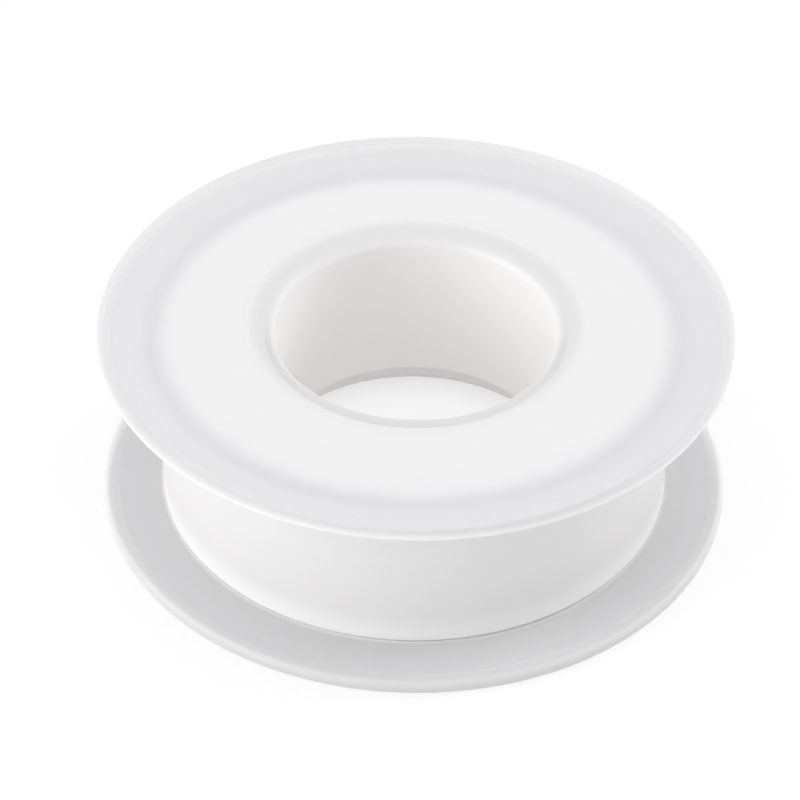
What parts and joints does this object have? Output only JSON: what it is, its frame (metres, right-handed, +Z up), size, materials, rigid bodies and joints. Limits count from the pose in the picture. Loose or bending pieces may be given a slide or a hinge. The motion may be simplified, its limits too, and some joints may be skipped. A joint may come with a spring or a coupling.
{
  "type": "thread seal tape roll",
  "caption": "Roll of white thread seal tape on a translucent plastic spool with wide flanges and an open bore; the free end of the tape peels off.",
  "frame": {"origin": "on the floor, at the middle of the circle that the lower flange's rim stands on", "axes": "+Z up along the axis of the spool and its bore, from the half with the hub to the half with the sleeve; +Y away from the viewer, towards the free end of the tape; +X to the viewer's right"},
  "size_m": [0.043, 0.043, 0.0143],
  "materials": {
    "spool_plastic": "translucent natural polypropylene, satin",
    "tape_film": "soft white unsintered PTFE film, matte with a faint sheen"
  },
  "bodies": {
    "roll": {"spool_base": "spool_plastic", "spool_cap": "spool_plastic", "tape_pack": "tape_film", "tape_outer_turn": "tape_film"},
    "free_end": {"tape_free_end": "tape_film"}
  },
  "joints": [
    {"name": "tape_peel", "type": "hinge", "parent": "roll", "child": "free_end", "pos_m": [0.01237, 0.01218, 0.00715], "axis": [0, 0, -1], "range_deg": [0, 90]}
  ]
}
